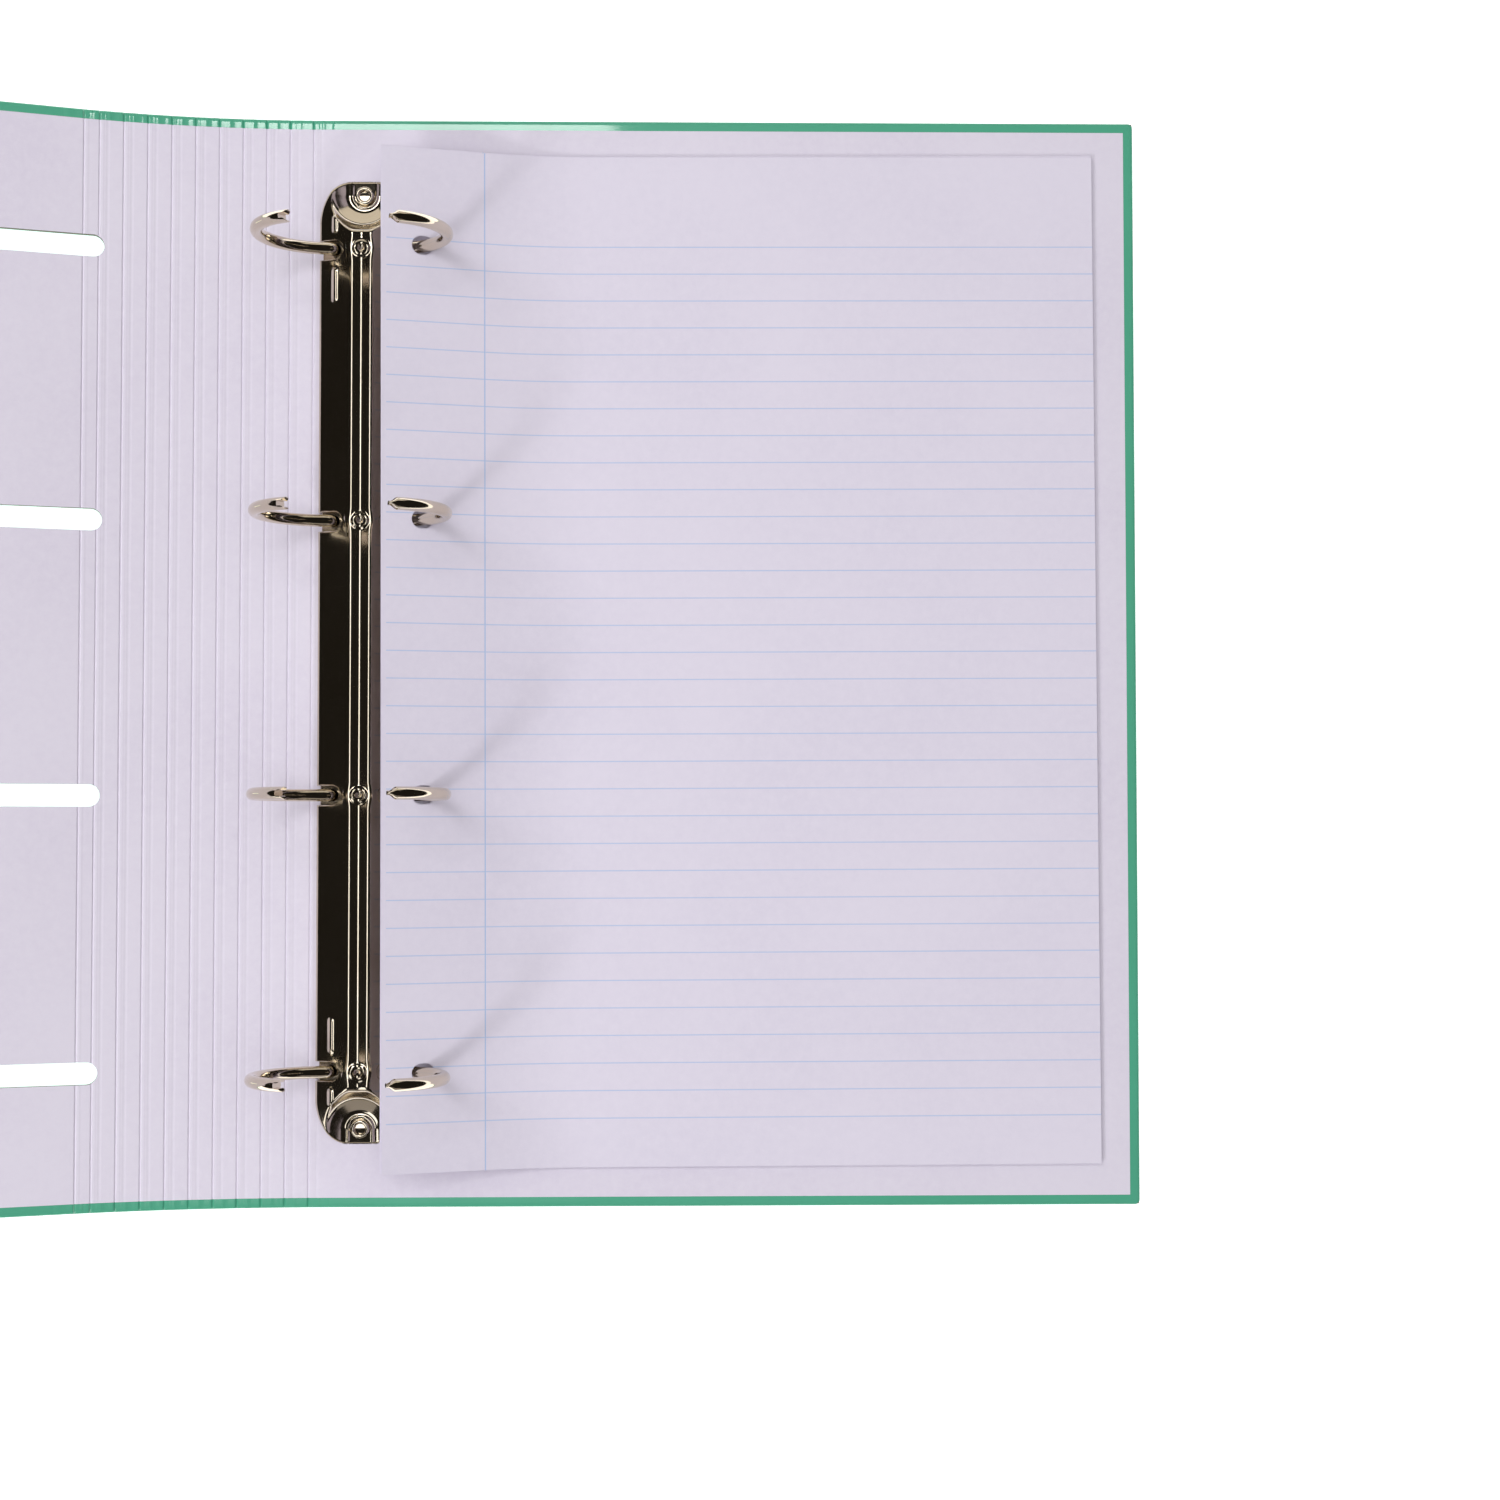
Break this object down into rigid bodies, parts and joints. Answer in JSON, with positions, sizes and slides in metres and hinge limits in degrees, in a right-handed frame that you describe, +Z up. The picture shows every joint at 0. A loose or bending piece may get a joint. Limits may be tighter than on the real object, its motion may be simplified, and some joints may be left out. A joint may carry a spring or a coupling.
{
  "type": "ring binder",
  "caption": "Wide ring binder lying open: creased folding spine, slotted front cover, steel ring mechanism and filed ruled sheets.",
  "frame": {"origin": "on the table, under the middle of the open binder's bounding box", "axes": "+X from the spine towards the back cover's free edge, +Y towards the top of the binder, +Z up"},
  "size_m": [0.5396, 0.32, 0.0872],
  "materials": {
    "outer_wrap": "glossy laminated printed paper",
    "cover_board": "grey-brown pressed board, seen at cut edges",
    "lining": "smooth pale lining paper",
    "housing_steel": "bright nickel-plated pressed steel",
    "rivet_steel": "bright nickel-plated steel",
    "blade_steel": "nickel-plated steel sheet",
    "ring_wire": "bright nickel-plated steel wire",
    "paper": "matt ruled writing paper"
  },
  "bodies": {
    "back_cover": {"back_wrap": "outer_wrap", "back_board": "cover_board", "back_lining": "lining", "housing": "housing_steel", "rivets": "rivet_steel"},
    "strip_1": {"strip_1_wrap": "outer_wrap", "strip_1_board": "cover_board", "strip_1_lining": "lining"},
    "strip_2": {"strip_2_wrap": "outer_wrap", "strip_2_board": "cover_board", "strip_2_lining": "lining"},
    "strip_3": {"strip_3_wrap": "outer_wrap", "strip_3_board": "cover_board", "strip_3_lining": "lining"},
    "strip_4": {"strip_4_wrap": "outer_wrap", "strip_4_board": "cover_board", "strip_4_lining": "lining"},
    "strip_5": {"strip_5_wrap": "outer_wrap", "strip_5_board": "cover_board", "strip_5_lining": "lining"},
    "strip_6": {"strip_6_wrap": "outer_wrap", "strip_6_board": "cover_board", "strip_6_lining": "lining"},
    "strip_7": {"strip_7_wrap": "outer_wrap", "strip_7_board": "cover_board", "strip_7_lining": "lining"},
    "strip_8": {"strip_8_wrap": "outer_wrap", "strip_8_board": "cover_board", "strip_8_lining": "lining"},
    "strip_9": {"strip_9_wrap": "outer_wrap", "strip_9_board": "cover_board", "strip_9_lining": "lining"},
    "strip_10": {"strip_10_wrap": "outer_wrap", "strip_10_board": "cover_board", "strip_10_lining": "lining"},
    "front_cover": {"front_wrap": "outer_wrap", "front_board": "cover_board", "front_lining": "lining"},
    "left_rings": {"left_blade": "blade_steel", "left_half_ring_1": "ring_wire", "left_half_ring_2": "ring_wire", "left_half_ring_3": "ring_wire", "left_half_ring_4": "ring_wire"},
    "right_rings": {"right_blade": "blade_steel", "right_half_ring_1": "ring_wire", "right_half_ring_2": "ring_wire", "right_half_ring_3": "ring_wire", "right_half_ring_4": "ring_wire"},
    "paper": {"filed_paper": "paper"}
  },
  "joints": [
    {"name": "crease_1", "type": "hinge", "parent": "back_cover", "child": "strip_1", "pos_m": [0.02684, 0, 0], "axis": [0, 1, 0], "range_deg": [-1.64, 14.73]},
    {"name": "crease_2", "type": "hinge", "parent": "strip_1", "child": "strip_2", "pos_m": [0.01994, 0, 0.0002], "axis": [0, 1, 0], "range_deg": [-1.64, 14.73]},
    {"name": "crease_3", "type": "hinge", "parent": "strip_2", "child": "strip_3", "pos_m": [0.01305, 0, 0.00059], "axis": [0, 1, 0], "range_deg": [-1.64, 14.73]},
    {"name": "crease_4", "type": "hinge", "parent": "strip_3", "child": "strip_4", "pos_m": [0.00618, 0, 0.00118], "axis": [0, 1, 0], "range_deg": [-1.64, 14.73]},
    {"name": "crease_5", "type": "hinge", "parent": "strip_4", "child": "strip_5", "pos_m": [-0.00068, 0, 0.00197], "axis": [0, 1, 0], "range_deg": [-1.64, 14.73]},
    {"name": "crease_6", "type": "hinge", "parent": "strip_5", "child": "strip_6", "pos_m": [-0.00751, 0, 0.00295], "axis": [0, 1, 0], "range_deg": [-1.64, 14.73]},
    {"name": "crease_7", "type": "hinge", "parent": "strip_6", "child": "strip_7", "pos_m": [-0.01431, 0, 0.00413], "axis": [0, 1, 0], "range_deg": [-1.64, 14.73]},
    {"name": "crease_8", "type": "hinge", "parent": "strip_7", "child": "strip_8", "pos_m": [-0.02107, 0, 0.0055], "axis": [0, 1, 0], "range_deg": [-1.64, 14.73]},
    {"name": "crease_9", "type": "hinge", "parent": "strip_8", "child": "strip_9", "pos_m": [-0.02779, 0, 0.00706], "axis": [0, 1, 0], "range_deg": [-1.64, 14.73]},
    {"name": "crease_10", "type": "hinge", "parent": "strip_9", "child": "strip_10", "pos_m": [-0.03446, 0, 0.00881], "axis": [0, 1, 0], "range_deg": [-1.64, 14.73]},
    {"name": "crease_11", "type": "hinge", "parent": "strip_10", "child": "front_cover", "pos_m": [-0.03873, 0, 0.01007], "axis": [0, 1, 0], "range_deg": [-1.64, 14.73]},
    {"name": "rings_close", "type": "hinge", "parent": "back_cover", "child": "left_rings", "pos_m": [0.03064, 0, 0.004], "axis": [0, 1, 0], "range_deg": [0, 21]},
    {"name": "right_rings_turn", "type": "hinge", "parent": "back_cover", "child": "right_rings", "pos_m": [0.05344, 0, 0.004], "axis": [0, -1, 0], "range_deg": [0, 21.01]},
    {"name": "paper_slide", "type": "slide", "parent": "back_cover", "child": "paper", "axis": [-1, 0, 0], "range_m": [0, 0.0049]}
  ],
  "couplings": [
    {"joint": "right_rings_turn", "follows": "rings_close", "ratio": 1},
    {"joint": "paper_slide", "follows": "rings_close", "m_per_rad": 0.013096}
  ]
}
